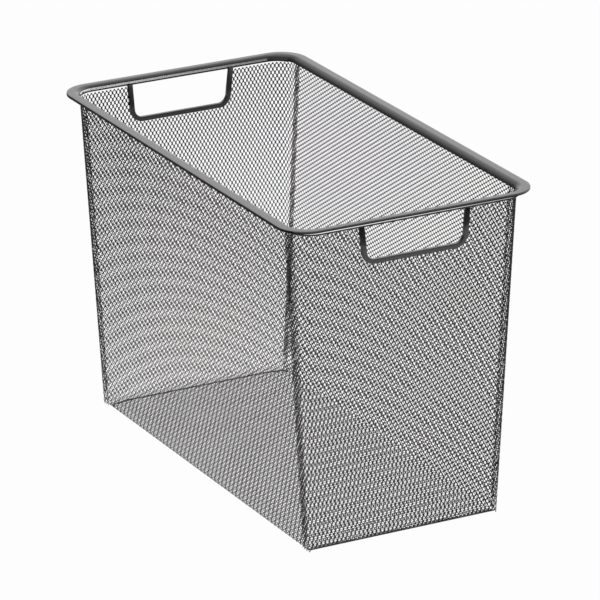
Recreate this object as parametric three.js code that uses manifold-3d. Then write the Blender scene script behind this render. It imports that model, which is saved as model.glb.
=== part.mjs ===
// Drawer basket of painted expanded steel mesh: a bin that widens upwards, with a smooth rim all
// round its mouth and a bound hand hole in each short end.
// Millimetres, +Z up, origin on the floor under the middle of the basket. X runs across the
// basket, Y along it, and the front end looks towards -Y.
import * as THREE from "three";
import { mergeVertices } from "three/addons/utils/BufferGeometryUtils.js";
import Module from "manifold-3d";

const wasm = await Module();
wasm.setup();

// The bin
const HEIGHT = 289.8; // floor to the crest of the rim
const BASE_WIDTH = 177.2; // over the long walls' outer faces, at the floor
const BASE_LENGTH = 388; // over the end walls' outer faces, at the floor
const FLARE = 15.2; // how far each wall leans out by its top edge
const FOOT_RADIUS = 3; // plan radius of a corner at the floor; the corners are cones

// The sheet and its folds
const SHEET = 1; // thickness
const BEND = 1.6; // outside radius of a folded bottom edge
const SEAM = 9; // width of a lap: round each corner on to the long wall, and over the base
const GAP = 0.3; // clearance between pieces that touch

// The mesh, cut coarser than the real one at the same weight of steel per area
const LONG_WAY = 50; // pitch along the diamonds' long way
const SHORT_WAY = 31; // pitch along their short way
const STRAND = 4; // width of a strand
const BORDER = 5; // plain edge left round each sheet
const LEAST_CELL = 45; // area under which a cell cut by the border stays closed, in square mm
const CORNER_CELL = 26; // half the angle that a cell takes on a corner's cone, in degrees

// The rim: a flat, crowned band that stands out beyond the walls, on a lip that holds the mesh
const SIDE_OVERHANG = 12.1; // rim beyond the long walls' faces
const END_OVERHANG = 8.8; // rim beyond the end walls' faces
const RIM_OUTSET = 0.5; // its inner edge beyond all four walls' faces
const RIM_RADIUS = 25.5; // plan radius of its outer corners
const RIM_EDGE = 1.1; // height of its edge
const RIM_CROWN = 1.8; // rise of its crown over the edge
const RIM_TILT = 1; // how much lower the inner edge is than the outer one
const LIP_WIDTH = 3.2;
const LIP_HEIGHT = 2.4;
const LIP_CHAMFER = 0.6;
const LIP_OUTSET = 0.6; // middle of the lip beyond the walls' faces

// The hand holes, each bound by a channel
const HANDLE_WIDTH = 103.2; // over the binding, at the lip
const HANDLE_DEPTH = 33.8; // lip to the binding's lower edge
const HANDLE_DRAFT = 3.9; // how much each leg leans in on its way down
const HANDLE_RADIUS = 12; // outer lower corners
const TRIM_LEG = 4.4; // width of the binding's legs
const TRIM_SILL = 4.2; // height of its lower bar
const TRIM_DEPTH = 4; // thickness through the wall
const TRIM_ROUND = 0.6; // rounding of its edges

const RIM_SECTION = rimSection();
const LIP_TOP = Math.min(...RIM_SECTION.map((p) => p.y)) - GAP;
const LIP_FOOT = LIP_TOP - LIP_HEIGHT;
const WALL_TOP = LIP_FOOT - GAP;
const LEAN = Math.atan2(FLARE, WALL_TOP);
const TOP_WIDTH = BASE_WIDTH + 2 * FLARE;
const TOP_LENGTH = BASE_LENGTH + 2 * FLARE;
const TOP_RADIUS = FOOT_RADIUS + FLARE;
const HEM_FOOT = SHEET + GAP; // the end hems lie on the base
const PANEL_FOOT = HEM_FOOT + BEND + GAP; // above the hem's fold

const out = (z) => z * Math.tan(LEAN); // how far a wall has leaned out at height z

function v2(x, y) {
  return new THREE.Vector2(x, y);
}

const paint = (color, roughness) =>
  new THREE.MeshStandardMaterial({ color, roughness, metalness: 0.35 });
const MESH_PAINT = paint(0x3b3a3c, 0.55);
const RIM_PAINT = paint(0x77767a, 0.4);
const TRIM_PAINT = paint(0x444246, 0.5);

function named(name, geometry, material) {
  const mesh = new THREE.Mesh(geometry, material);
  mesh.name = name;
  return mesh;
}

function toSolid(geometry) {
  const bare = geometry.clone();
  bare.deleteAttribute("normal");
  bare.deleteAttribute("uv");
  const merged = mergeVertices(bare, 1e-4);
  return new wasm.Manifold(
    new wasm.Mesh({
      numProp: 3,
      vertProperties: merged.attributes.position.array,
      triVerts: new Uint32Array(merged.index.array),
    }),
  );
}

function toGeometry(solid) {
  const mesh = solid.getMesh();
  const geometry = new THREE.BufferGeometry();
  geometry.setAttribute("position", new THREE.BufferAttribute(mesh.vertProperties, 3));
  geometry.setIndex(new THREE.BufferAttribute(mesh.triVerts, 1));
  geometry.computeVertexNormals();
  return geometry;
}

// The part of a convex outline where depth(point) is positive.
function clip(outline, depth) {
  const kept = outline.flatMap((p, k) => {
    const q = outline[(k + 1) % outline.length];
    const [dp, dq] = [depth(p), depth(q)];
    const part = dp >= 0 ? [p] : [];
    if (dp * dq < 0) part.push(p.clone().lerp(q, dp / (dp - dq)));
    return part;
  });
  return kept.filter((p, k) => p.distanceTo(kept[(k + 1) % kept.length]) > 0.05);
}

const area = (outline) => (outline.length < 3 ? 0 : Math.abs(THREE.ShapeUtils.area(outline)));

// Outlines of the diamond cells on a sheet, between x = -half and half and y = low and high, in
// staggered rows. trim(outline) cuts a cell at a further edge.
function cells(half, low, high, pitchX, pitchY, trim = (outline) => outline) {
  const [a, b] = [pitchX / 2, pitchY / 2];
  const inset = (STRAND / 2) * Math.hypot(a, b);
  const [dx, dy] = [a - inset / b, b - inset / a];
  const middle = (low + high) / 2;
  const edges = [
    (p) => half - BORDER - p.x,
    (p) => p.x + half - BORDER,
    (p) => high - BORDER - p.y,
    (p) => p.y - low - BORDER,
  ];
  const columns = Math.ceil(half / a);
  const rows = Math.ceil((high - low) / 2 / b);
  const found = [];
  for (let i = -columns; i <= columns; i++)
    for (let j = -rows; j <= rows; j++) {
      if ((i + j) % 2) continue;
      const [x, y] = [i * a, middle + j * b];
      const diamond = [v2(x + dx, y), v2(x, y + dy), v2(x - dx, y), v2(x, y - dy)];
      const cell = trim(edges.reduce(clip, diamond));
      if (area(cell) >= LEAST_CELL) found.push(cell);
    }
  return found;
}

// A wall's section, drawn in (out, up) from the foot of its outer face, made into a solid of the
// given width that looks towards -Y.
function facing(section, width) {
  const geometry = new THREE.ExtrudeGeometry(section, {
    depth: width,
    bevelEnabled: false,
    curveSegments: 6,
  });
  const axes = new THREE.Matrix4().makeBasis(
    new THREE.Vector3(0, -1, 0),
    new THREE.Vector3(0, 0, 1),
    new THREE.Vector3(-1, 0, 0),
  );
  return geometry.translate(0, 0, -width / 2).applyMatrix4(axes);
}

// Outlines in (x, up), made into one cutter that passes right through a leaning wall.
function cutter(shapes) {
  const reach = FLARE + BEND + 2 * SHEET;
  return toSolid(
    new THREE.ExtrudeGeometry(shapes, { depth: 2 * reach, bevelEnabled: false, curveSegments: 6 })
      .translate(0, 0, -reach)
      .rotateX(Math.PI / 2),
  );
}

// Centre of a fold that is tangent to a floor at height z and to the leaning wall.
const foldCentre = (z) => v2(((z + BEND) * Math.sin(LEAN) - BEND) / Math.cos(LEAN), z + BEND);

// Long wall: a leaning sheet whose bottom edge is folded in to meet the base.
function longWall() {
  const centre = foldCentre(0);
  const section = new THREE.Shape();
  section.absarc(centre.x, centre.y, BEND, -Math.PI / 2, -LEAN, false);
  section.lineTo(out(WALL_TOP), WALL_TOP);
  section.lineTo(out(WALL_TOP) - SHEET / Math.cos(LEAN), WALL_TOP);
  section.absarc(centre.x, centre.y, BEND - SHEET, -LEAN, -Math.PI / 2, true);
  const half = BASE_LENGTH / 2 - FOOT_RADIUS - GAP;
  const diamonds = cells(half - SEAM, BEND, WALL_TOP, LONG_WAY, SHORT_WAY);
  const sheet = toSolid(facing(section, 2 * half));
  return toGeometry(sheet.subtract(cutter(diamonds.map((d) => new THREE.Shape(d)))));
}

function base() {
  const halfX = BASE_WIDTH / 2 + foldCentre(0).x - GAP;
  const halfY = BASE_LENGTH / 2 + foldCentre(HEM_FOOT).x;
  const sheet = new THREE.Shape([
    v2(-halfX, -halfY),
    v2(halfX, -halfY),
    v2(halfX, halfY),
    v2(-halfX, halfY),
  ]);
  const open = halfY - SEAM; // the hems cover the rest
  const diamonds = cells(halfX, -open, open, SHORT_WAY, LONG_WAY).map((d) => new THREE.Shape(d));
  const slab = new THREE.ExtrudeGeometry(sheet, { depth: SHEET, bevelEnabled: false });
  const holes = new THREE.ExtrudeGeometry(diamonds, { depth: 3 * SHEET, bevelEnabled: false });
  return toGeometry(toSolid(slab).subtract(toSolid(holes.translate(0, 0, -SHEET))));
}

// U-shaped outline of a hand hole, hung from y = 0, that stands `grow` outside the binding's own.
// The mouth is carried up by `over`, so that a cutter clears the edge.
function handleOutline(path, growX, growY, over) {
  const top = HANDLE_WIDTH / 2 + growX;
  const low = top - HANDLE_DRAFT;
  const foot = -HANDLE_DEPTH - growY;
  const round = Math.max(HANDLE_RADIUS + growX, 1);
  const along = round / (HANDLE_DEPTH + growY); // share of a leg taken by the corner
  path.moveTo(-top, over);
  path.lineTo(-top, 0);
  path.lineTo(-low - HANDLE_DRAFT * along, foot + round);
  path.quadraticCurveTo(-low, foot, -low + round, foot);
  path.lineTo(low - round, foot);
  path.quadraticCurveTo(low, foot, low + HANDLE_DRAFT * along, foot + round);
  path.lineTo(top, 0);
  path.lineTo(top, over);
  return path;
}

// End wall: a flat leaning sheet with the hand hole cut out of its top edge.
const PANEL_HALF = BASE_WIDTH / 2 + SHEET - FOOT_RADIUS;
function endWall() {
  const slant = SHEET / Math.cos(LEAN);
  const section = new THREE.Shape([
    v2(out(PANEL_FOOT) - slant, PANEL_FOOT),
    v2(out(PANEL_FOOT), PANEL_FOOT),
    v2(out(WALL_TOP), WALL_TOP),
    v2(out(WALL_TOP) - slant, WALL_TOP),
  ]);
  const clear = GAP + BORDER;
  const side = HANDLE_WIDTH / 2 + clear;
  const sill = WALL_TOP - HANDLE_DEPTH - clear;
  // A cell at the hand hole keeps its larger part: below the hole, or to one side of it.
  const besideHandle = (cell) =>
    [(p) => sill - p.y, (p) => p.x - side, (p) => -p.x - side]
      .map((depth) => clip(cell, depth))
      .reduce((best, part) => (area(part) > area(best) ? part : best));
  const diamonds = cells(PANEL_HALF, PANEL_FOOT, WALL_TOP, SHORT_WAY, LONG_WAY, besideHandle);
  const hole = cutter([handleOutline(new THREE.Shape(), GAP, GAP, BORDER)]).translate(0, 0, WALL_TOP);
  const sheet = toSolid(facing(section, 2 * PANEL_HALF));
  return toGeometry(
    sheet.subtract(cutter(diamonds.map((d) => new THREE.Shape(d)))).subtract(hole),
  );
}

// Hem under an end wall: the fold and the leg that laps over the base.
function hem() {
  const centre = foldCentre(HEM_FOOT);
  const section = new THREE.Shape();
  section.moveTo(centre.x - SEAM, HEM_FOOT);
  section.absarc(centre.x, centre.y, BEND, -Math.PI / 2, -LEAN, false);
  section.absarc(centre.x, centre.y, BEND - SHEET, -LEAN, -Math.PI / 2, true);
  section.lineTo(centre.x - SEAM, HEM_FOOT + SHEET);
  return facing(section, 2 * PANEL_HALF);
}

// Binding of a hand hole, hung from y = 0 in its own plane, with its thickness along z.
function trim() {
  const shape = handleOutline(new THREE.Shape(), 0, 0, 0);
  const inner = handleOutline(new THREE.Path(), -TRIM_LEG, -TRIM_SILL, 0);
  for (const p of inner.getPoints(6).reverse()) shape.lineTo(p.x, p.y);
  return new THREE.ExtrudeGeometry(shape, {
    depth: TRIM_DEPTH - 2 * TRIM_ROUND,
    bevelThickness: TRIM_ROUND,
    bevelSize: TRIM_ROUND,
    bevelOffset: -TRIM_ROUND,
    bevelSegments: 1,
    curveSegments: 6,
  }).translate(0, 0, TRIM_ROUND - TRIM_DEPTH / 2);
}

// Solid between two plan outlines with as many points each, drawn anticlockwise.
function loft(low, zLow, high, zHigh) {
  const n = low.length;
  const at = (outline, z) => outline.flatMap((p) => [p.x, p.y, z]);
  const index = [];
  for (const [i, j, k] of THREE.ShapeUtils.triangulateShape(low, [])) index.push(k, j, i);
  for (const [i, j, k] of THREE.ShapeUtils.triangulateShape(high, []))
    index.push(n + i, n + j, n + k);
  for (let k = 0; k < n; k++) {
    const l = (k + 1) % n;
    index.push(k, l, n + l, k, n + l, n + k);
  }
  const geometry = new THREE.BufferGeometry();
  const points = [...at(low, zLow), ...at(high, zHigh)];
  geometry.setAttribute("position", new THREE.Float32BufferAttribute(points, 3));
  geometry.setIndex(index);
  geometry.computeVertexNormals();
  return geometry;
}

// Corner: the end wall's sheet carried round a cone and lapped on to the outside of the long wall.
// Drawn for the front right corner; hand is -1 for its mirror image at the front left.
const CORNER_X = PANEL_HALF + GAP; // axis of the cone
const CORNER_Y = -(BASE_LENGTH / 2 - FOOT_RADIUS);
function corner(hand) {
  const section = (z) => {
    const radius = FOOT_RADIUS + out(z);
    const outer = new THREE.Path().absarc(CORNER_X, CORNER_Y, radius, -Math.PI / 2, 0, false);
    const inner = new THREE.Path().absarc(CORNER_X, CORNER_Y, radius - SHEET, 0, -Math.PI / 2, true);
    const lap = CORNER_Y + SEAM;
    const face = CORNER_X + radius;
    const outline = [
      ...outer.getPoints(5),
      v2(face, lap),
      v2(face - SHEET, lap),
      ...inner.getPoints(5),
    ];
    return hand > 0 ? outline : outline.map((p) => v2(-p.x, p.y)).reverse();
  };
  const shell = toSolid(loft(section(SHEET), SHEET, section(WALL_TOP), WALL_TOP));
  // One column of cells, each as wide as its angle of the cone.
  const rows = Math.floor((WALL_TOP - SHEET - 2 * BORDER) / LONG_WAY);
  const tall = (LONG_WAY - STRAND) / 2;
  const diamonds = [];
  for (let k = 0; k < rows; k++) {
    const z = WALL_TOP - BORDER - (k + 0.5) * LONG_WAY;
    const wide = (FOOT_RADIUS + out(z)) * Math.sin(THREE.MathUtils.degToRad(CORNER_CELL));
    diamonds.push(new THREE.Shape([v2(wide, z), v2(0, z + tall), v2(-wide, z), v2(0, z - tall)]));
  }
  const holes = new THREE.ExtrudeGeometry(diamonds, { depth: 2 * TOP_RADIUS, bevelEnabled: false })
    .rotateX(Math.PI / 2) // from the axis out towards -Y
    .rotateZ((hand * Math.PI) / 4)
    .translate(hand * CORNER_X, CORNER_Y, 0);
  return toGeometry(shell.subtract(toSolid(holes)));
}

// Rim's section, drawn anticlockwise from its outer edge: the share of the way in to its inner
// edge, and the height. Its crest is at the basket's full height.
function rimSection() {
  const steps = 8;
  const section = [];
  for (let k = 0; k <= steps; k++) {
    const t = (k / steps) * Math.PI;
    section.push(v2((1 - Math.cos(t)) / 2, RIM_CROWN * Math.sin(t)));
  }
  section.push(v2(0.9, -RIM_EDGE), v2(0.1, -RIM_EDGE));
  for (const p of section) p.y -= RIM_TILT * p.x;
  const crest = Math.max(...section.map((p) => p.y));
  for (const p of section) p.y += HEIGHT - crest;
  return section;
}

// Outline of a rectangle with rounded corners, anticlockwise from its right side.
function rounded(width, length, radius) {
  const turns = 6;
  const outline = [];
  for (let quarter = 0; quarter < 4; quarter++) {
    const cx = (width / 2 - radius) * [1, -1, -1, 1][quarter];
    const cy = (length / 2 - radius) * [1, 1, -1, -1][quarter];
    for (let k = 0; k <= turns; k++) {
      const angle = ((quarter + k / turns) * Math.PI) / 2;
      outline.push(v2(cx + radius * Math.cos(angle), cy + radius * Math.sin(angle)));
    }
  }
  return outline;
}

// Closed loop: a section, drawn anticlockwise in (share of the way in, up), carried round between
// an outer and an inner outline.
function loop(section, outer, inner) {
  const points = outer.flatMap((far, s) =>
    section.flatMap((p) => {
      const at = far.clone().lerp(inner[s], p.x);
      return [at.x, at.y, p.y];
    }),
  );
  const m = section.length;
  const index = [];
  for (let s = 0; s < outer.length; s++)
    for (let k = 0; k < m; k++) {
      const [a, b] = [s * m + k, s * m + ((k + 1) % m)];
      const next = ((s + 1) % outer.length) * m;
      const [c, d] = [next + ((k + 1) % m), next + k];
      index.push(a, d, c, a, c, b);
    }
  const geometry = new THREE.BufferGeometry();
  geometry.setAttribute("position", new THREE.Float32BufferAttribute(points, 3));
  geometry.setIndex(index);
  geometry.computeVertexNormals();
  return geometry;
}

// Outline of the walls' faces at the top, grown by the same distance all round.
const mouth = (grow) =>
  rounded(TOP_WIDTH + 2 * grow, TOP_LENGTH + 2 * grow, TOP_RADIUS + grow);

function rim() {
  const width = TOP_WIDTH + 2 * SIDE_OVERHANG;
  const length = TOP_LENGTH + 2 * END_OVERHANG;
  return loop(RIM_SECTION, rounded(width, length, RIM_RADIUS), mouth(RIM_OUTSET));
}

// Lip: the strip under the rim that stands on the walls' top edges.
function lip() {
  const share = LIP_CHAMFER / LIP_WIDTH;
  const section = [
    v2(0, LIP_FOOT + LIP_CHAMFER),
    v2(0, LIP_TOP),
    v2(1, LIP_TOP),
    v2(1, LIP_FOOT + LIP_CHAMFER),
    v2(1 - share, LIP_FOOT),
    v2(share, LIP_FOOT),
  ];
  return loop(section, mouth(LIP_OUTSET + LIP_WIDTH / 2), mouth(LIP_OUTSET - LIP_WIDTH / 2));
}

const basket = new THREE.Group();
basket.name = "drawer_basket";
basket.add(named("base", base(), MESH_PAINT));

for (const [side, turn] of [
  ["left", -Math.PI / 2],
  ["right", Math.PI / 2],
]) {
  const wall = new THREE.Group();
  wall.rotation.z = turn;
  const sheet = named("wall_" + side, longWall(), MESH_PAINT);
  sheet.position.y = -BASE_WIDTH / 2;
  wall.add(sheet);
  basket.add(wall);
}

for (const [end, turn] of [
  ["front", 0],
  ["rear", Math.PI],
]) {
  const wall = new THREE.Group();
  wall.rotation.z = turn;
  const sheet = named("end_" + end, endWall(), MESH_PAINT);
  const fold = named("hem_" + end, hem(), MESH_PAINT);
  sheet.position.y = fold.position.y = -BASE_LENGTH / 2;
  const binding = named("trim_" + end, trim(), TRIM_PAINT);
  binding.position.set(0, -TOP_LENGTH / 2 + SHEET / 2, WALL_TOP);
  binding.rotation.x = Math.PI / 2 + LEAN;
  // Seen from outside, a rear corner on the basket's right is this end's own left.
  const [right, left] = end === "front" ? ["right", "left"] : ["left", "right"];
  wall.add(
    sheet,
    fold,
    binding,
    named("corner_" + end + "_" + right, corner(1), MESH_PAINT),
    named("corner_" + end + "_" + left, corner(-1), MESH_PAINT),
  );
  basket.add(wall);
}

basket.add(named("lip", lip(), RIM_PAINT), named("rim", rim(), RIM_PAINT));

export default basket;
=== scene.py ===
# %% [markdown]
# # A drawer basket of expanded mesh
#
# The basket is a bin of slit and stretched steel sheet, coated dark grey. It widens upwards, its
# corners are cones, a smooth crowned rim runs round the mouth, and each short end has a hand hole
# with a U-shaped binding. The frame that is loaded here has every piece's place and size. Its
# mesh is coarse, so this lesson replaces it by the real mesh, strand by strand, and gives the rim,
# the lip under it and the bindings their rounded edges and their coat.

import bpy
import numpy as np
from mathutils import Matrix, Vector


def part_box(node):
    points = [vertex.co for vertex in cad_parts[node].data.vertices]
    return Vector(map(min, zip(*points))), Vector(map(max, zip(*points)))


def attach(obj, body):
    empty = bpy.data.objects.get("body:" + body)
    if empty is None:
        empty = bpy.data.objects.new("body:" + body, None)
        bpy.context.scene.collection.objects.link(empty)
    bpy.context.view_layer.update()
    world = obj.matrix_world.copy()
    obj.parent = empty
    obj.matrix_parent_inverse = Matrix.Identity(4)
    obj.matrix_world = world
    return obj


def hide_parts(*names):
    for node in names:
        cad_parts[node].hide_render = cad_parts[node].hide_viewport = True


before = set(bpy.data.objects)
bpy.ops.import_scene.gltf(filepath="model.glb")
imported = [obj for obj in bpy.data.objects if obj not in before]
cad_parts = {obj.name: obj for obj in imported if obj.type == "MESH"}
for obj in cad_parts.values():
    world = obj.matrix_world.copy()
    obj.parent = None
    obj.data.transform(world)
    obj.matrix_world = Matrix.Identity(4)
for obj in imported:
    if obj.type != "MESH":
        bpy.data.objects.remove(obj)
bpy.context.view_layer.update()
print("frame:", sorted(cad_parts))

# %% [markdown]
# ## Sizes
#
# All work is in millimetres, in the frame's own axes: X across, Y along, Z up from the floor. What
# a box of the frame shows is read off it, so that the looks stay on the frame: the walls' top and
# the hand holes. What no box shows is a named value: the sheet, its bends and laps, and the flare,
# by which each wall leans out. The corner's radius grows by the flare too.

# %% Sizes
MM = 0.001


def box_mm(name):
    """A frame node's lowest and highest corner, in millimetres."""
    low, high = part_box(name)
    return np.array(low) / MM, np.array(high) / MM


# the sheet's thickness, the gap between two sheets, a fold's outer radius, and a lap's width
SHEET = 1.0
GAP = 0.3
BEND = 1.6
SEAM = 9.0
FLARE = 15.2
FOOT_RADIUS = 3.0
TOP_RADIUS = FOOT_RADIUS + FLARE
WALL_TOP = box_mm("wall_right")[1][2]
HALF_LENGTH_TOP = -box_mm("end_front")[0][1]
HALF_WIDTH_TOP = box_mm("wall_right")[1][0]
HALF_LENGTH = HALF_LENGTH_TOP - FLARE
HALF_WIDTH = HALF_WIDTH_TOP - FLARE
LEAN = np.arctan2(FLARE, WALL_TOP)
SIN, COS = np.sin(LEAN), np.cos(LEAN)
CORNER_X = HALF_WIDTH + GAP + SHEET - FOOT_RADIUS
CORNER_Y = HALF_LENGTH - FOOT_RADIUS
print(f"foot {2 * HALF_WIDTH:.1f} x {2 * HALF_LENGTH:.1f}, wall top {WALL_TOP:.1f}")
print(f"lean {np.degrees(LEAN):.2f} degrees")

# %% [markdown]
# ## Putting an array into a mesh
#
# Every piece below is worked out as whole arrays of points and faces. Modelling by hand would do
# for the rim, but not for tens of thousands of strands, which all have to lie on folded sheets. This
# helper makes the mesh object, shades it smooth, and lets it ride on the frame's only body. The
# points are scaled to metres here, so the object itself stays at the origin.


# %% Piece helper
def piece(name, points, faces, material, slot, replaces):
    """Mesh object from an (n, 3) array of points in mm and a list or array of corner numbers."""
    mesh = bpy.data.meshes.new(name)
    corners = faces if isinstance(faces, list) else faces.tolist()
    mesh.from_pydata((points * MM).tolist(), [], corners)
    mesh.shade_smooth()
    mesh.materials.append(material)
    obj = bpy.data.objects.new(name, mesh)
    bpy.context.scene.collection.objects.link(obj)
    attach(obj, "root")
    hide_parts(*replaces)
    print(f"{name}: {len(points)} points, {len(faces)} faces")
    return obj


# %% Grids
def wrapped_grid(rows, columns):
    """Faces of a grid that closes on itself both ways: each point with its neighbours in the next
    row and column. Rows follow the path, and a face has the number of its first point."""
    a = np.arange(rows * columns).reshape(rows, columns)
    b = np.roll(a, -1, 0)
    return np.stack([a, b, np.roll(b, -1, 1), np.roll(a, -1, 1)], axis=2).reshape(-1, 4)


def rod(grid):
    """Points and faces of a solid whose section goes along the grid's rows: the wrapped grid
    without its last row of faces, and one face to shut each end."""
    rows, columns = grid.shape[:2]
    faces = wrapped_grid(rows, columns).reshape(rows, columns, 4)[:-1].reshape(-1, 4)
    first, last = list(range(columns)), list(range((rows - 1) * columns, rows * columns))
    return grid.reshape(-1, 3), faces.tolist() + [first, last[::-1]]


print("faces of a rod of 3 rings of 6 points:", len(rod(np.zeros((3, 6, 3)))[1]))

# %% [markdown]
# ## Finishes
#
# The basket is steel with a baked epoxy coat, all but a bare strip under the rim, whose brightness is
# partly painted highlight. Such a coat is smooth but not quite flat: it has fine lumps, like an
# orange's skin, and its tone drifts a little.
# A picture could be wrapped round the pieces, but not well round thousands of strands. Noise in
# object space needs no unwrapping and has a real size in millimetres, so one noise makes the tone
# and a finer one the skin. Colours are sRGB hex values, turned to the linear light that the shaders
# work in by one function. One small function adds a node, sets it and links it.


# %% Material helpers
def linear(hex_colour):
    """sRGB hex text to linear RGBA: below 0.04045 divide by 12.92, above it a 2.4 power."""
    srgb = np.array([int(hex_colour[k : k + 2], 16) for k in (1, 3, 5)]) / 255
    rgb = np.where(srgb <= 0.04045, srgb / 12.92, ((srgb + 0.055) / 1.055) ** 2.4)
    return (*rgb.tolist(), 1.0)


def node(tree, kind, links=(), inputs=(), **settings):
    """Adds one node. links are (own input, other node, its output), inputs are (own input, value)."""
    made = tree.nodes.new(kind)
    for key, value in settings.items():
        setattr(made, key, value)
    for socket, value in inputs:
        made.inputs[socket].default_value = value
    for socket, other, output in links:
        tree.links.new(other.outputs[output], made.inputs[socket])
    return made


print("middle grey, linear:", np.round(linear("#808080"), 3))

# %% Finish
# The skin's lumps are about a millimetre wide, as coarse as such a coat has them, because finer
# ones would not show in the picture.
PEEL_DEEP = 0.05
TONE_ENDS = (0.35, 0.65)


def finish(name, dark, light, roughness, peel_mm, patch_mm, bump, metallic=0.0, ior=1.5):
    """Coated or bare metal: two near tones in patches of patch_mm, and a skin of peel_mm lumps. A
    noise's scale is one over its lumps' size."""
    material = bpy.data.materials.new(name)
    material.use_nodes = True
    tree = material.node_tree
    shader = tree.nodes["Principled BSDF"]
    place = node(tree, "ShaderNodeTexCoord")
    patches = node(
        tree,
        "ShaderNodeTexNoise",
        [("Vector", place, "Object")],
        [("Scale", 1 / (patch_mm * MM)), ("Detail", 3.0)],
    )
    tone = node(tree, "ShaderNodeValToRGB", [("Fac", patches, "Fac")])
    for stop, position, colour in zip(tone.color_ramp.elements, TONE_ENDS, (dark, light)):
        stop.position = position
        stop.color = linear(colour)
    peel = node(
        tree,
        "ShaderNodeTexNoise",
        [("Vector", place, "Object")],
        [("Scale", 1 / (peel_mm * MM)), ("Detail", 2.0)],
    )
    skin = node(
        tree,
        "ShaderNodeBump",
        [("Height", peel, "Fac")],
        [("Strength", bump), ("Distance", PEEL_DEEP * MM)],
    )
    tree.links.new(tone.outputs["Color"], shader.inputs["Base Color"])
    tree.links.new(skin.outputs["Normal"], shader.inputs["Normal"])
    shader.inputs["Roughness"].default_value = roughness
    shader.inputs["Metallic"].default_value = metallic
    shader.inputs["IOR"].default_value = ior
    print(f"{name}: roughness {roughness}, metallic {metallic}, IOR {ior}")
    return material


# %% The basket's finishes
# Sprayed thin on the mesh, nearly black and half matt: the strands read as dark threads. The
# near-black is partly painted shade, darker than the same epoxy on the rim.
SHADED_MESH_COAT = finish("epoxy_coat_mesh_painted_shade", "#1a1516", "#231d1e", 0.5, 0.9, 25, 0.2)
# Thick and glossy on the rim: a warm mid grey whose sheen follows the band's curves. Its IOR is
# matched to that sheen, and is a little above a clear epoxy's.
RIM_GREY = "#494445"
RIM_COAT = finish("epoxy_coat_rim", "#413c3d", RIM_GREY, 0.25, 1.2, 30, 0.2, ior=1.65)
# Painted shade on the rim's outer edge: the mesh's near-black with hardly any sheen, the dark line of
# the shaded underside under the light band. So that it throws back little light at a slant, its IOR
# is matched far below a smooth coat's.
RIM_EDGE_SHADE_COAT = finish("painted_shade_epoxy_rim_edge", "#1a1516", "#231d1e", 0.6, 0.9, 25, 0.2, ior=1.2)
# Bare rolled steel on the lip, bright and smooth: a white line under the rim at both ends. It is
# partly rendered reflection and partly painted highlight, because its steel colour is near white.
LIP_HIGHLIGHT_STEEL = finish("bare_steel_lip_painted_highlight", "#f6f5f4", "#fbfaf9", 0.15, 1.2, 30, 0.1, metallic=1.0)
# The rim's kind of coat on the bindings: a soft light along their round edges.
TRIM_COAT = finish("epoxy_coat_binding", "#433e40", "#4b4748", 0.25, 1.0, 20, 0.2, ior=1.65)

# %% [markdown]
# ## Painted fade of the lip's highlight
#
# The lip's bright line is a painted highlight that dims towards the right-hand side. Two materials
# would meet in a hard step. A ramp along X, which mixes the rim coat's grey into the steel's colour,
# more of it towards the right, lets the bright line fade.

# %% Painted highlight fade
HIGHLIGHT_FADE_SIDE = 80 * MM
HIGHLIGHT_FADE_MOST = 0.62
tree = LIP_HIGHLIGHT_STEEL.node_tree
shader = tree.nodes["Principled BSDF"]
steel_tone = shader.inputs["Base Color"].links[0].from_node
place = node(tree, "ShaderNodeTexCoord")
across = node(tree, "ShaderNodeSeparateXYZ", [("Vector", place, "Object")])
highlight_fade = node(
    tree,
    "ShaderNodeMapRange",
    [("Value", across, "X")],
    [("From Min", -HIGHLIGHT_FADE_SIDE), ("From Max", HIGHLIGHT_FADE_SIDE), ("To Max", HIGHLIGHT_FADE_MOST)],
)
faded_highlight = node(
    tree,
    "ShaderNodeMixRGB",
    [("Fac", highlight_fade, "Result"), ("Color1", steel_tone, "Color")],
    [("Color2", linear(RIM_GREY))],
)
tree.links.new(faded_highlight.outputs["Color"], shader.inputs["Base Color"])
print(f"mist: none at the left, {HIGHLIGHT_FADE_MOST:.0%} at the right")

# %% [markdown]
# ## The expanded mesh
#
# The sheet is slit in staggered rows and pulled open, so that each slit becomes a diamond. What is
# left are bonds, where four strands meet, and the strands between them. Drawing holes in a sheet
# would leave flat faces with sharp edges. The coated mesh looks round, so here each bond gets six
# points: one on the outside, one on the inside, and four in the plane, in the crotches between its
# strands. A strand is then a four-sided tube from one bond's ring of points to the next one's, with
# a slimmer waist at its middle, and the tubes join without a seam. The lattice is worked out flat,
# as the sheet was made, and a place function folds it: it takes the flat coordinates u, v and a
# height n off the sheet.

# %% Mesh sizes
BOND_SHORT = 0.52
BOND_LONG = 1.0
BOND_THICK = 0.34
STRAND_WIDE = 0.17
STRAND_THICK = 0.2
RING, WAIST = 6, 4
print(f"a strand's waist: {2 * STRAND_WIDE:.2f} x {2 * STRAND_THICK:.2f} mm")


# %% Bonds
def bond_grid(keep, pitch_u, pitch_v, span_u, span_v):
    """Bonds sit at (i * pitch_u / 2, j * pitch_v / 2) with i + j even, wherever keep(u, v) holds.
    Gives their flat places, and their numbers in a table over i and j, with -1 for no bond."""
    i = np.arange(np.floor(2 * span_u[0] / pitch_u), np.ceil(2 * span_u[1] / pitch_u) + 1)
    j = np.arange(np.floor(2 * span_v[0] / pitch_v), np.ceil(2 * span_v[1] / pitch_v) + 1)
    i, j = np.meshgrid(i, j, indexing="ij")
    u, v = i * pitch_u / 2, j * pitch_v / 2
    used = ((i + j) % 2 == 0) & keep(u, v)
    number = np.where(used, np.cumsum(used).reshape(used.shape) - 1, -1)
    return np.stack([u[used], v[used]], axis=1), number


def tube(a, b):
    """Four faces between each ring of four points in a and the matching ring in b."""
    quads = np.stack([a, np.roll(a, -1, 1), np.roll(b, -1, 1), b], axis=2)
    return quads.reshape(-1, 4)


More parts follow.
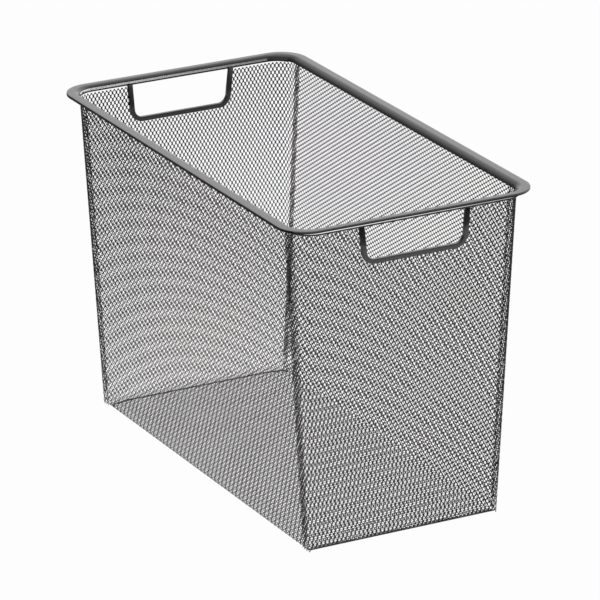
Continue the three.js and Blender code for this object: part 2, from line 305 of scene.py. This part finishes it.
# %% Expanded sheet
def expanded(place, keep, pitch_u, pitch_v, span_u, span_v, weight):
    """Points and faces of a sheet of strands: a ring of points for each bond, a waist halfway
    between two bonds, and tubes from ring to waist to ring. place(u, v, n) folds the flat sheet.
    weight(v) widens the strands."""
    bonds, number = bond_grid(keep, pitch_u, pitch_v, span_u, span_v)
    half_u, half_v = (BOND_SHORT, BOND_LONG) if pitch_u < pitch_v else (BOND_LONG, BOND_SHORT)
    # outside, inside, then the crotches at +u, +v, -u, -v
    ring = np.array([[0, 0], [0, 0], [half_u, 0], [0, half_v], [-half_u, 0], [0, -half_v]])
    flat = [(bonds[:, None] + ring * weight(bonds[:, 1])[:, None, None]).reshape(-1, 2)]
    height = [np.tile([BOND_THICK, -BOND_THICK, 0, 0, 0, 0], len(bonds))]
    faces = []
    count = RING * len(bonds)
    # the strands that rise to +u, then those that rise to -u
    for start, end, ring_start, ring_end, way in (
        (number[:-1, :-1], number[1:, 1:], [0, 2, 1, 3], [0, 5, 1, 4], [pitch_u, pitch_v]),
        (number[1:, :-1], number[:-1, 1:], [0, 3, 1, 4], [0, 2, 1, 5], [-pitch_u, pitch_v]),
    ):
        both = (start >= 0) & (end >= 0)
        a, b = start[both], end[both]
        side = np.array([way[1], -way[0]]) / np.hypot(*way) * STRAND_WIDE
        middle = (bonds[a] + bonds[b]) / 2
        across = np.array([[0, 0], side, [0, 0], -side]) * weight(middle[:, 1])[:, None, None]
        flat.append((middle[:, None] + across).reshape(-1, 2))
        height.append(np.tile([STRAND_THICK, 0, -STRAND_THICK, 0], len(a)))
        ring_a = RING * a[:, None] + np.array(ring_start)
        waist = count + np.arange(WAIST * len(a)).reshape(-1, WAIST)
        ring_b = RING * b[:, None] + np.array(ring_end)
        faces += [tube(ring_a, waist), tube(waist, ring_b)]
        count += WAIST * len(a)
    flat, height = np.vstack(flat), np.concatenate(height)
    return place(flat[:, 0], flat[:, 1], height), np.vstack(faces)


# %% [markdown]
# ## Floor and long walls
#
# One sheet makes the floor and both long walls: it is bent up along the two long bottom edges, so
# its cells run on round the fold, and the diamonds lie with their long way along the basket. Three
# separate sheets would break the pattern at the folds. Flat, v is the way across from the middle
# of the floor. Up to the fold the sheet lies on the floor, then it follows a circle, and then it
# leans out with the wall.

# %% Fold of the long walls
# the fold's radius in the middle of the sheet, where its circle leaves the floor, and its length
FOLD_MID = BEND - SHEET / 2
FOLD_X = HALF_WIDTH + (BEND * SIN - BEND) / COS
FOLD_ARC = FOLD_MID * (np.pi / 2 - LEAN)


def place_wrap(u, v, n):
    """u is Y. The way |v| across is flat to FOLD_X, then an arc of 90 degrees less the lean, then
    straight up the lean. n goes out of the basket."""
    way = np.abs(v)
    angle = np.clip((way - FOLD_X) / FOLD_MID, 0, np.pi / 2 - LEAN) - np.pi / 2
    beyond = np.maximum(way - FOLD_X - FOLD_ARC, 0)
    x = np.minimum(way, FOLD_X) + (FOLD_MID + n) * np.cos(angle) + beyond * SIN
    z = BEND + (FOLD_MID + n) * np.sin(angle) + beyond * COS
    return np.stack([np.sign(v) * x, u, z], axis=1)


# %% Wrapped sheet
WRAP_LONG_WAY, WRAP_SHORT_WAY = 6.5, 4.01
SHORT_OF_CORNER = 0.5
INTO_LIP = 3.0
WRAP_HALF = HALF_LENGTH - FOOT_RADIUS - SHORT_OF_CORNER
WALL_V = FOLD_X + FOLD_ARC / 2
TOP_V = FOLD_X + FOLD_ARC + (WALL_TOP - BEND) / COS + INTO_LIP


def wrap_sheet(v_low, v_high, weight, u_low=-WRAP_HALF, u_high=WRAP_HALF):
    """The wrapped sheet between two values of v and of u."""
    return expanded(
        place_wrap,
        lambda u, v: (u >= u_low) & (u <= u_high) & (v >= v_low) & (v <= v_high),
        WRAP_LONG_WAY,
        WRAP_SHORT_WAY,
        (u_low, u_high),
        (v_low, v_high),
        weight,
    )


print(f"flat sheet: {2 * WRAP_HALF:.0f} x {2 * TOP_V:.0f} mm")


# %% Strand widths
# From a distance a mesh is an even grey. How dark it is depends on the strands' width, so each wall
# has its own, matched to the photograph's grey.
def graded(v_span, foot, top):
    """A strand's width, as a share, that goes evenly from a wall's foot to its top."""
    return lambda v: np.interp(np.abs(v), v_span, (foot, top))


WALL_SPAN = (WALL_V, TOP_V)
FLOOR_WEIGHT = graded(WALL_SPAN, 1.3, 1.3)
WALL_WEIGHTS = {"left": graded(WALL_SPAN, 0.66, 1.12), "right": graded(WALL_SPAN, 1.27, 1.27)}
print(f"left wall's strands at the foot: {WALL_WEIGHTS['left'](WALL_V):.0%} of the plain width")

# %% Floor and walls
# Neighbouring pieces share one row of bonds, so that no strand is missing between them. A wall has
# so many strands that it is made in two halves.
ROW_U, ROW_V = WRAP_LONG_WAY / 2, WRAP_SHORT_WAY / 2
piece("mesh_floor", *wrap_sheet(-WALL_V, WALL_V, FLOOR_WEIGHT), SHADED_MESH_COAT, "mesh", ["base"])
for side, v_span in (("right", (WALL_V - ROW_V, TOP_V)), ("left", (-TOP_V, ROW_V - WALL_V))):
    front_half = wrap_sheet(*v_span, WALL_WEIGHTS[side], u_high=ROW_U)
    rear_half = wrap_sheet(*v_span, WALL_WEIGHTS[side], u_low=0)
    piece(f"mesh_wall_{side}_front", *front_half, SHADED_MESH_COAT, "mesh", ["wall_" + side])
    piece(f"mesh_wall_{side}_rear", *rear_half, SHADED_MESH_COAT, "mesh", ["wall_" + side])

# %% [markdown]
# ## Hand holes
#
# A hand hole is cut out of each end's top edge: two legs that close in a little downwards, a level
# sill, and round corners between them. A Boolean would cut through strands and leave stubs. It is
# simpler to ask of each bond whether it lies in the hole, and to leave it out. The two holes
# are not cut quite alike, so each has its own move to the side, and up, before it is turned.

# %% Hand hole
HANDLE_HALF = box_mm("trim_front")[1][0]
HANDLE_FOOT = box_mm("trim_front")[0][2]
HANDLE_RADIUS = 12.0
HANDLE_MOVES = {"front": (1.8, -1.1), "rear": (0.3, 0.85)}
DRAFT_LEFT, DRAFT_RIGHT = 3.9, 1.7
TRIM_LEG = 4.4
TRIM_SILL = 4.2


def in_hole(end, x, z, inset_side, inset_foot):
    """True inside the hand hole's outline, moved in by two insets. Its half width shrinks evenly
    downwards by the draft, and a corner is a circle's quarter."""
    aside, up = HANDLE_MOVES[end]
    x = x - aside
    low = HANDLE_FOOT + up + inset_foot
    draft = np.where(x > 0, DRAFT_RIGHT, DRAFT_LEFT)
    half = HANDLE_HALF - inset_side - draft * (WALL_TOP - z) / (WALL_TOP - low)
    radius = HANDLE_RADIUS - inset_side
    corner = np.hypot(np.maximum(np.abs(x) - half + radius, 0), np.maximum(low + radius - z, 0))
    return (np.abs(x) < half) & (z > low) & (corner < radius)


print(f"hand hole: {2 * HANDLE_HALF:.1f} wide, {WALL_TOP - HANDLE_FOOT:.1f} deep")

# %% [markdown]
# ## End walls
#
# Each end is a second sheet, with its diamonds standing up. Its foot is folded in over the floor,
# and at both sides it goes round the corner and laps on to the outside of the long wall. A flat end
# with separate corner pieces would break the pattern twice. A corner that is tight at the floor and
# wide at the top is part of a cone, and a cone can be laid out flat, so the sheet stays whole: a
# flat point's distance from the cone's tip and its angle there give its place. Past a quarter turn
# the sheet is flat again and lies along the long wall.

# %% End sheet
# The hem lies on the floor's sheet, and its fold's circle touches the hem and the leaning wall.
HEM_FOOT = SHEET + GAP
HEM_IN = ((HEM_FOOT + BEND) * SIN - BEND) / COS
HEM_V = (HEM_FOOT + BEND - BEND * SIN) / COS
HEM_ARC = BEND * (np.pi / 2 - LEAN)
# the cone's tip, below the floor on the wall's slope, and a quarter turn when it is laid out flat
TIP_V = -FOOT_RADIUS / SIN
QUARTER = np.pi / 2 * SIN
FLAT_FOOT = 0.2


def unroll(u, v):
    """Distance from the cone's tip and angle past the corner's first edge, for a flat point."""
    past = np.maximum(np.abs(u) - CORNER_X, 0)
    return np.hypot(past, v - TIP_V), np.arctan2(past, v - TIP_V)


def place_end(u, v, n):
    """Front end. v runs up the slope of the wall from the floor; n goes out of the basket. The
    cone's radius is the distance from the tip times the lean's sine."""
    reach, angle = unroll(u, v)
    n = n - SHEET / 2
    # the cone, and the flat lap past its quarter turn
    turn = np.minimum(angle, QUARTER) / SIN
    lap = np.maximum(angle - QUARTER, 0)
    radius = reach * np.cos(lap) * SIN + n * COS
    x = np.minimum(np.abs(u), CORNER_X) + radius * np.sin(turn)
    y = CORNER_Y + radius * np.cos(turn) - reach * np.sin(lap)
    z = reach * np.cos(lap) * COS + TIP_V * COS - n * SIN
    # the hem: below HEM_V the sheet follows a fold and then lies on the floor
    down = np.maximum(HEM_V - v, 0)
    bend = np.minimum(down / BEND, np.pi / 2 - LEAN) + LEAN
    leg = np.maximum(down - HEM_ARC, 0)
    hem = (v < HEM_V) & (np.abs(u) <= CORNER_X)
    y = np.where(hem, HALF_LENGTH + HEM_IN + (BEND + n) * np.cos(bend) - leg, y)
    z = np.where(hem, HEM_FOOT + BEND - (BEND + n) * np.sin(bend), z)
    # the corners' lowest strands are pressed flat on the floor
    return np.stack([np.sign(u) * x, -y, np.maximum(z, FLAT_FOOT)], axis=1)


print(f"corner cone: tip {-TIP_V:.1f} mm down the slope, {np.degrees(QUARTER):.2f} degrees when flat")

# %% Cut outline
CORNER_FOOT = -0.1
TOP_SPARE = 1.5


def lap_way(u, v):
    """The way past the corner's quarter turn, along the long wall, and the way up there."""
    reach, angle = unroll(u, v)
    past = np.maximum(angle - QUARTER, 0)
    return reach * np.sin(past), reach * np.cos(past) + TIP_V


def keep_end(end, u, v):
    """Inside the end sheet's cut outline: lap, hem, top edge and hand hole."""
    lap, top = lap_way(u, v)
    hemmed = np.abs(u) <= CORNER_X - SHORT_OF_CORNER
    foot = np.where(hemmed, HEM_V - HEM_ARC - SEAM, CORNER_FOOT)
    hole = in_hole(end, u, v * COS, TRIM_LEG / 2, TRIM_SILL / 2)
    return (lap <= SEAM) & (v >= foot) & (top <= WALL_TOP / COS + TOP_SPARE) & ~hole


# %% Ends
# An end is worked out in front. The rear one is turned half round the basket's upright middle.
TURNS = {"front": np.array([1, 1, 1]), "rear": np.array([-1, -1, 1])}
END_SHORT_WAY, END_LONG_WAY = 3.71, 6.1
END_SPAN = (0, WALL_TOP)
END_WEIGHTS = {"front": graded(END_SPAN, 1.04, 1.02), "rear": graded(END_SPAN, 0.76, 1.36)}
# the flat sheet's reach from its middle, with room to spare past the lap
REACH_U = CORNER_X + TOP_RADIUS * np.pi / 2 + 2 * SEAM


def end_sheet(end, place, keep):
    """Points and faces of an end's sheet, turned to its own end."""
    points, faces = expanded(
        place,
        lambda u, v: keep(end, u, v),
        END_SHORT_WAY,
        END_LONG_WAY,
        (-REACH_U, REACH_U),
        (-2 * SEAM, WALL_TOP + SEAM),
        END_WEIGHTS[end],
    )
    return points * TURNS[end], faces


for end in TURNS:
    corners = [f"corner_{end}_left", f"corner_{end}_right"]
    covered = ["end_" + end, "hem_" + end] + corners
    piece("mesh_end_" + end, *end_sheet(end, place_end, keep_end), SHADED_MESH_COAT, "mesh", covered)

# %% [markdown]
# ## Folded seams
#
# The lap's cut edge is folded back under it, so a seam has a second layer of mesh, whose strands
# cross the first layer's openings. That is why the seams and the corners beside them look darker
# than the walls. A dark strip would look solid. The same sheet, placed one strand further in and
# moved by a quarter cell, lets light through as the real one does.

# %% Folded seams
FOLD_STEP = 0.7
HEM_RISE = 2.0
# where the second layer begins, as a share of the way round the corner, for u below and above zero
FOLD_FROM = {"front": (0.75, 0.68), "rear": (1.0, 0.68)}


def place_fold(u, v, n):
    """The fold lies one strand further in, and its bonds sit between the lap's bonds."""
    return place_end(u, v + END_LONG_WAY / 4, n - FOLD_STEP)


def keep_fold(end, u, v):
    """The lap, the corner from FOLD_FROM on, and the bend at the foot, where the hem is folded."""
    bend = (lap_way(u, v)[0] <= 0) & (v > HEM_V - HEM_ARC) & (v < HEM_V + HEM_RISE)
    folded = (unroll(u, v)[1] > QUARTER * np.where(u < 0, *FOLD_FROM[end])) & (v > SEAM)
    return keep_end(end, u, v) & (folded | bend)


for end in TURNS:
    covered = ["hem_" + end, f"corner_{end}_left", f"corner_{end}_right"]
    piece("mesh_seam_" + end, *end_sheet(end, place_fold, keep_fold), SHADED_MESH_COAT, "mesh", covered)

# %% [markdown]
# ## Hem edges
#
# Where the hem's strands are pressed together they read as one dark edge. At the rear that is the
# hem's cut edge, which lies on the floor's mesh and is bent down at both corners. In front it is
# the fold, which goes round the corners up to where the lap begins. Pressing single strands together
# would need many more of them. A round rod along the edge gives the same dark line.

# %% Hem edge
EDGE_RADIUS = 0.6
EDGE_STEPS, EDGE_SIDES = 9, 10
LEVEL_AFTER = 15.0


def hem_edge(end, half_x, half_y, corner, low, high):
    """A round edge along the end's foot, through both corners, which are circles' quarters. It lies
    at `low` in the corners and at `high` along the straight part between them."""
    turn = np.linspace(0, np.pi / 2, EDGE_STEPS)
    level_x = half_x - corner - LEVEL_AFTER
    bend_x = np.append(half_x - corner + corner * np.cos(turn), level_x)
    bend_y = np.append(half_y - corner + corner * np.sin(turn), half_y)
    bend_z = np.append(np.full(len(turn), low), high)
    out_x, out_y = np.append(np.cos(turn), 0), np.append(np.sin(turn), 1)
    # the left half from its far end to the middle, then the right half back out
    x = np.concatenate([-bend_x, bend_x[::-1]])[:, None]
    out_x = np.concatenate([-out_x, out_x[::-1]])[:, None]
    y, z, out_y = (np.concatenate([k, k[::-1]])[:, None] for k in (bend_y, bend_z, out_y))
    around = np.linspace(0, 2 * np.pi, EDGE_SIDES, endpoint=False)
    out, up = EDGE_RADIUS * np.cos(around), EDGE_RADIUS * np.sin(around)
    return rod(np.stack([x + out_x * out, -(y + out_y * out), z + up], axis=2) * TURNS[end])


# %% Cut edge at the rear, fold in front
CUT_X, CUT_ROUND, CUT_LOW = 87.0, 6.0, 0.7
CUT_Y = HALF_LENGTH + HEM_IN - SEAM
cut = hem_edge("rear", CUT_X, CUT_Y, CUT_ROUND, CUT_LOW, HEM_FOOT + SHEET / 2)
piece("hem_cut_rear", *cut, SHADED_MESH_COAT, "mesh", ["hem_rear"])

FOLD_INSET, FOLD_UP = 1.7, 1.9
FOLD_ROUND = FOOT_RADIUS - FOLD_INSET
fold_x, fold_y = CORNER_X + FOLD_ROUND, CORNER_Y + FOLD_ROUND
fold = hem_edge("front", fold_x, fold_y, FOLD_ROUND, FOLD_UP, FOLD_UP)
piece("hem_fold_front", *fold, SHADED_MESH_COAT, "mesh", ["hem_front"])

# %% [markdown]
# ## Rim
#
# The rim is a smooth band round the mouth. Its top is nearly flat, its outer edge is full, and its
# inner part curves down into the basket. A curve with a bevel would have one width all round, but
# the band is wider along the sides than at the ends. So a section is carried round between two
# outlines, both rectangles with rounded corners: a section point is given by its share of the way
# in, from 0 on the outer outline to 1 on the inner one, and its height.


# %% Outlines and loops
def rounded(half_x, half_y, radius, steps=24):
    """Outline of a rectangle with rounded corners, anticlockwise: four circle quarters about the
    four corner centres."""
    quarter = np.repeat(np.arange(4), steps + 1)
    angle = (quarter + np.tile(np.linspace(0, 1, steps + 1), 4)) * np.pi / 2
    x = (half_x - radius) * np.array([1, -1, -1, 1])[quarter] + radius * np.cos(angle)
    y = (half_y - radius) * np.array([1, 1, -1, -1])[quarter] + radius * np.sin(angle)
    return np.stack([x, y], axis=1)


def mouth(grow):
    """Outline of the walls' faces at the top, grown by the same distance all round."""
    return rounded(HALF_WIDTH_TOP + grow, HALF_LENGTH_TOP + grow, TOP_RADIUS + grow)


def loop(section, outer, inner):
    """A closed band: each section point (share, up) follows the outlines' mean by its share."""
    share = section[:, 0][:, None]
    plan = outer[:, None] * (1 - share) + inner[:, None] * share
    height = np.broadcast_to(section[:, 1], plan.shape[:2])
    points = np.dstack([plan, height]).reshape(-1, 3)
    return points, wrapped_grid(len(outer), len(section))


print(f"mouth: {2 * HALF_WIDTH_TOP:.1f} x {2 * HALF_LENGTH_TOP:.1f} mm")

# %% Rim section
RIM_HIGH = box_mm("rim")[1]
RIM_THICK = 2.3
RIM_DROP, DROP_FROM, DROP_POWER = 1.9, 0.62, 1.4
OUTER_TOP, INNER_TOP = 6.0, 2.3
OUTER_FOOT, INNER_FOOT = 8.0, 4.0
# even steps, and a few more points on the flat top, where even steps leave a wide gap
FLAT_TOP = np.arccos(np.array([0.1, 0.2, 0.3]) ** (OUTER_TOP / 2))
SECTION_ANGLES = np.sort(np.append(np.linspace(0, 2 * np.pi, 72, endpoint=False), FLAT_TOP))


def rim_section():
    """A flattened oval, anticlockwise from the outer edge. Each quarter of it is a superellipse of
    its own power: a high power makes a full corner, and 2 an ellipse. From DROP_FROM on, the whole
    band curves down towards the inner edge."""
    cos, sin = np.cos(SECTION_ANGLES), np.sin(SECTION_ANGLES)
    top = np.where(cos > 0, OUTER_TOP, INNER_TOP)
    foot = np.where(cos > 0, OUTER_FOOT, INNER_FOOT)
    power = 2 / np.where(sin >= 0, top, foot)
    share = (1 - np.sign(cos) * np.abs(cos) ** power) / 2
    up = np.sign(sin) * np.abs(sin) ** power
    droop = np.maximum(share - DROP_FROM, 0) / (1 - DROP_FROM)
    height = RIM_HIGH[2] - RIM_THICK / 2 * (1 - up) - RIM_DROP * droop**DROP_POWER
    return np.stack([share, height], axis=1)


print(f"rim section: {len(SECTION_ANGLES)} points, {RIM_THICK} mm thick")

# %% Rim
RIM_RADIUS = 25.5
RIM_OUTSET = 0.5
SIDE_DEEPER = 0.3
# how far up the outer edge the painted shade reaches, along the sides and at the ends
SHADE_UP_TO_SIDES, SHADE_UP_TO_ENDS = 0.45, -0.02
rim_outer = rounded(RIM_HIGH[0], RIM_HIGH[1], RIM_RADIUS)
rim_points, rim_faces = loop(rim_section(), rim_outer, mouth(RIM_OUTSET))
turn = np.tile(SECTION_ANGLES, len(rim_outer))
# 1 along the sides, 0 at the ends, and even between them in the corners
straight = HALF_LENGTH_TOP - TOP_RADIUS
along = np.interp(np.abs(rim_points[:, 1]), (straight, HALF_LENGTH_TOP), (1, 0))
# along the sides the band's lower half is deeper
rim_points[:, 2] -= SIDE_DEEPER * (np.sin(turn) < 0) * along
rim = piece("rim_band", rim_points, rim_faces, RIM_COAT, "rim", ["rim"])
# painted shade on the outer edge, up to a limit on the section's sine, which is higher along the
# sides
edge_shade = (np.cos(turn) > 0) & (np.sin(turn) < np.where(along > 0, SHADE_UP_TO_SIDES, SHADE_UP_TO_ENDS))
rim.data.materials.append(RIM_EDGE_SHADE_COAT)
rim.data.polygons.foreach_set("material_index", edge_shade.astype(np.int32))
print("dull faces on the rim:", edge_shade.sum())

# %% [markdown]
# ## Lip
#
# The lip is the strip under the rim that grips the mesh. Over the short ends it is bright bare steel,
# in part a painted highlight, down to a near-black band at its foot, which is painted shade: the dark
# line under the bright strip. Along the sides it has the mesh's coat all over, and its lower edge
# lies higher, and a little higher at the rear too. Three pieces would show gaps. One loop like the
# rim's, with a material for each face, keeps it whole.

# %% Lip section
LIP_WIDTH = 3.2
LIP_ROUND = 0.35
LIP_FOOT, LIP_TOP = 283.4, 287.2
LIP_STEPS = 6
# height of the near-black band of painted shade at the lip's foot
FOOT_SHADE = 1.5


def lip_section():
    """A rectangle with rounded corners in (share of its width, up), anticlockwise. It has one more
    point on each side face, at the height where the painted shade at its foot ends."""
    outline = rounded(LIP_WIDTH / 2, (LIP_TOP - LIP_FOOT) / 2, LIP_ROUND, LIP_STEPS)
    share, up = 0.5 - outline[:, 0] / LIP_WIDTH, outline[:, 1] + (LIP_TOP + LIP_FOOT) / 2
    section = np.stack([share, up], axis=1)
    upper = 2 * (LIP_STEPS + 1)
    inner, outer = [[1.0, LIP_FOOT + FOOT_SHADE]], [[0.0, LIP_FOOT + FOOT_SHADE]]
    return np.vstack([section[:upper], inner, section[upper:], outer])


print(f"lip section: {LIP_WIDTH} x {LIP_TOP - LIP_FOOT:.1f} mm")

# %% Lip
LIP_OUTSET = 1.9
SIDE_RISE = 1.1
REAR_RISE = 0.6
END_FROM = HALF_LENGTH_TOP - TOP_RADIUS / 2
lip_outer, lip_inner = mouth(LIP_OUTSET + LIP_WIDTH / 2), mouth(LIP_OUTSET - LIP_WIDTH / 2)
lip_points, lip_faces = loop(lip_section(), lip_outer, lip_inner)
middle = lip_points[lip_faces].mean(axis=1)
# painted highlight: the bright bare faces over the short ends, above the painted shade band at the
# foot
highlight_strip = (np.abs(middle[:, 1]) > END_FROM) & (middle[:, 2] > LIP_FOOT + FOOT_SHADE)
# past the rear hand hole the painted highlight ends, and the strip has the rim's coat
past_highlight = highlight_strip & (middle[:, 1] > 0) & (middle[:, 0] > HANDLE_HALF)
at_end = np.abs(lip_points[:, 1]) > END_FROM
low = lip_points[:, 2] < (LIP_FOOT + LIP_TOP) / 2
lip_points[low & ~at_end, 2] += SIDE_RISE
lip_points[low & at_end & (lip_points[:, 1] > 0), 2] += REAR_RISE
lip = piece("lip_strip", lip_points, lip_faces, SHADED_MESH_COAT, "rim", ["lip"])
lip.data.materials.append(LIP_HIGHLIGHT_STEEL)
lip.data.materials.append(RIM_COAT)
lip.data.polygons.foreach_set("material_index", highlight_strip.astype(np.int32) + past_highlight)
print("bare faces on the lip:", highlight_strip.sum() - past_highlight.sum())

# %% [markdown]
# ## Bindings of the hand holes
#
# A folded strip covers the mesh's cut edge round each hand hole. It is a rounded rectangle carried
# along a U-shaped path: down one leg, round a corner, along the sill, and up again. The path is in
# the wall's own slope. A curve with a bevel would have one width, but the strip is a little wider
# on the legs than along the sill, so it is worked out ring by ring, and its width changes smoothly
# with the direction of the path.

# %% Binding's path
LEG_RISE = 1.2
LEG_TOP = WALL_TOP + LEG_RISE
CORNER_OUT = 0.6
CORNER_STEPS = 14


def binding_edge(draft, foot):
    """Outer edge of one side of the U, from the top to the sill's middle, with a circle's arc for
    the corner: the way out of the hole as an angle below the level, and x and z."""
    slope = np.arctan2(draft, WALL_TOP - foot)
    turn = np.linspace(slope, np.pi / 2, CORNER_STEPS)
    corner_x = HANDLE_HALF - draft - HANDLE_RADIUS + CORNER_OUT
    corner_z = foot + HANDLE_RADIUS
    way = np.concatenate([[slope], turn, [np.pi / 2]])
    x = np.concatenate([[HANDLE_HALF], corner_x + HANDLE_RADIUS * np.cos(turn), [0.0]])
    z = np.concatenate([[LEG_TOP], corner_z - HANDLE_RADIUS * np.sin(turn), [foot]])
    return way, x, z


print(f"binding's legs end at {LEG_TOP:.1f} mm, in the lip")

# %% Bindings
TRIM_DEEP = 4.0
TRIM_ROUND = 0.9
TRIM_STEPS = 5


def strip_section():
    """Section of the strip: share of its width inwards (0 to 1), and depth out of the wall."""
    outline = rounded(TRIM_LEG / 2, TRIM_DEEP / 2, TRIM_ROUND, TRIM_STEPS)
    return 0.5 + outline[:, 0] / TRIM_LEG, outline[:, 1]


def binding(end):
    """Sweep along the U. The outer edge is drawn first; the inner edge lies a strip's width in."""
    aside, up = HANDLE_MOVES[end]
    right = binding_edge(DRAFT_RIGHT, HANDLE_FOOT + up)
    left = binding_edge(DRAFT_LEFT, HANDLE_FOOT + up)
    # one side from the top to the middle, then the other side back up
    way, x, z = (np.concatenate([r, l[-2::-1]])[:, None] for r, l in zip(right, left))
    side = np.where(np.arange(len(x)) < len(right[0]), 1, -1)[:, None]
    out_x, out_z = side * np.cos(way), -np.sin(way)
    wide = TRIM_LEG + (TRIM_SILL - TRIM_LEG) * out_z**2
    inwards, depth = strip_section()
    px = aside + side * x - out_x * wide * inwards
    pz = z - out_z * wide * inwards
    # lean with the wall: its outer face lies at this Y for a height z
    y = -(HALF_LENGTH + pz * np.tan(LEAN) - SHEET / 2 + depth)
    return rod(np.stack([px, y, pz], axis=2) * TURNS[end])


for end in TURNS:
    piece("binding_" + end, *binding(end), TRIM_COAT, "trim", ["trim_" + end])

# %% [markdown]
# ## White floor
#
# The photograph is a white studio picture with hardly any shadow. A lit white floor would come out
# grey, and a floor that only glows would lose the shadow. So the floor is white to the camera and
# in reflections, with a small share of real shading mixed in, and a faint shadow stays. To all
# other rays it is plain grey paper.

# %% Floor
FLOOR_HALF = 6000.0
FLOOR_GAP = 0.2
ground = bpy.data.meshes.new("ground")
corners = np.array([[-1, -1, 0], [1, -1, 0], [1, 1, 0], [-1, 1, 0]]) * FLOOR_HALF
ground.from_pydata(((corners - np.array([0, 0, FLOOR_GAP])) * MM).tolist(), [], [[0, 1, 2, 3]])
floor = bpy.data.objects.new("ground", ground)
bpy.context.scene.collection.objects.link(floor)
print(f"floor: {2 * FLOOR_HALF * MM:.0f} m wide")

# %% Paper
# Matt white paper: an even white with a breath of shadow under the basket.
WHITE_SHARE = 0.98
WHITE = linear("#ffffff")
paper = bpy.data.materials.new("white_paper")
paper.use_nodes = True
tree = paper.node_tree
tree.nodes.remove(tree.nodes["Principled BSDF"])
matte = node(tree, "ShaderNodeBsdfDiffuse", inputs=[("Color", linear("#a0a0a0"))])
glow = node(tree, "ShaderNodeEmission", inputs=[("Color", WHITE), ("Strength", 1.0)])
ray = node(tree, "ShaderNodeLightPath")
mirrored = node(
    tree,
    "ShaderNodeMath",
    [(0, ray, "Is Glossy Ray"), (1, ray, "Is Transmission Ray")],
    operation="MAXIMUM",
)
seen = node(
    tree,
    "ShaderNodeMath",
    [(0, ray, "Is Camera Ray"), (1, mirrored, 0)],
    operation="MAXIMUM",
)
share = node(tree, "ShaderNodeMath", [(0, seen, 0)], [(1, WHITE_SHARE)], operation="MULTIPLY")
both = node(tree, "ShaderNodeMixShader", [(0, share, 0), (1, matte, 0), (2, glow, 0)])
tree.links.new(both.outputs[0], tree.nodes["Material Output"].inputs["Surface"])
ground.materials.append(paper)
print(f"paper: {WHITE_SHARE:.0%} white, {1 - WHITE_SHARE:.0%} shaded")

# %% [markdown]
# ## Light
#
# The rim's sheen tells where the light was: behind the basket, to its right, and above. Several
# lamps could stand there, but each would leave a streak on the rim. So the room itself is
# bright on that side and dark on the camera's side, and one large lamp overhead gives the shadow.

# %% Room
LIGHT_SIDE = (0.72, 0.55, 0.42)
DARK_UP_TO, BRIGHT_FROM = 0.2, 1.0
DARK, BRIGHT = 0.15, 1.45
world = bpy.data.worlds.new("studio")
bpy.context.scene.world = world
world.use_nodes = True
sky = world.node_tree
room = sky.nodes["Background"]
room.inputs["Color"].default_value = WHITE
aim = node(sky, "ShaderNodeTexCoord")
toward = node(
    sky,
    "ShaderNodeVectorMath",
    [(0, aim, "Generated")],
    [(1, LIGHT_SIDE)],
    operation="DOT_PRODUCT",
)
level = node(
    sky,
    "ShaderNodeMapRange",
    [("Value", toward, "Value")],
    [("From Min", DARK_UP_TO), ("From Max", BRIGHT_FROM), ("To Min", DARK), ("To Max", BRIGHT)],
    interpolation_type="SMOOTHSTEP",
)
sky.links.new(level.outputs["Result"], room.inputs["Strength"])
print(f"room: {DARK} on the dark side, {BRIGHT} on the bright side")


# %% Lamp
def soft_box(name, place, aim, size, power):
    """A square area lamp at `place`, turned to `aim`, both in metres."""
    lamp = bpy.data.lights.new(name, "AREA")
    lamp.size = size
    lamp.energy = power
    obj = bpy.data.objects.new(name, lamp)
    back = (Vector(place) - Vector(aim)).normalized()
    obj.matrix_world = Matrix.Translation(place) @ back.to_track_quat("Z", "Y").to_matrix().to_4x4()
    bpy.context.scene.collection.objects.link(obj)
    print(f"{name}: {size} m wide, {power} W")


soft_box("key_overhead", place=(0.2, 0.5, 2.4), aim=(0, 0, 0.2), size=1.6, power=8)

# %% [markdown]
# ## Camera
#
# The camera's place comes from a fit of the basket's edges to the photograph: seen from the front
# left, 20 degrees above the level, from far away with a long lens. A camera set by eye would leave
# the edges some pixels off. Its distance, lens and a half degree of roll are the fit's own numbers,
# in pixels of a picture 600 wide.

# %% Camera
AZIMUTH, ELEVATION, ROLL = np.radians([-27.819, 20.436, -0.480])
FOCUS_PX = 5181.9
PICTURE_PX = 600
SENSOR = 36
DISTANCE = 4420.2
TARGET = np.array([4.36, -3.59, 143.57])
right = np.array([np.cos(AZIMUTH), np.sin(AZIMUTH), 0])
level_back = np.array([np.sin(AZIMUTH), -np.cos(AZIMUTH), 0])
back = level_back * np.cos(ELEVATION) + np.array([0, 0, np.sin(ELEVATION)])
up = np.cross(back, right)
rolled_right = np.cos(ROLL) * right + np.sin(ROLL) * up
rolled_up = np.cos(ROLL) * up - np.sin(ROLL) * right
lens = bpy.data.cameras.new("camera")
lens.sensor_width = SENSOR
lens.lens = FOCUS_PX / PICTURE_PX * SENSOR
lens.clip_end = 30
camera = bpy.data.objects.new("camera", lens)
turned = np.eye(4)
turned[:3, :3] = np.stack([rolled_right, rolled_up, back], axis=1)
turned[:3, 3] = (TARGET + DISTANCE * back) * MM
camera.matrix_world = Matrix(turned.tolist())
bpy.context.scene.collection.objects.link(camera)
bpy.context.scene.camera = camera
bpy.context.scene.view_settings.view_transform = "Standard"
print(f"camera: {lens.lens:.0f} mm lens, {DISTANCE * MM:.2f} m away")
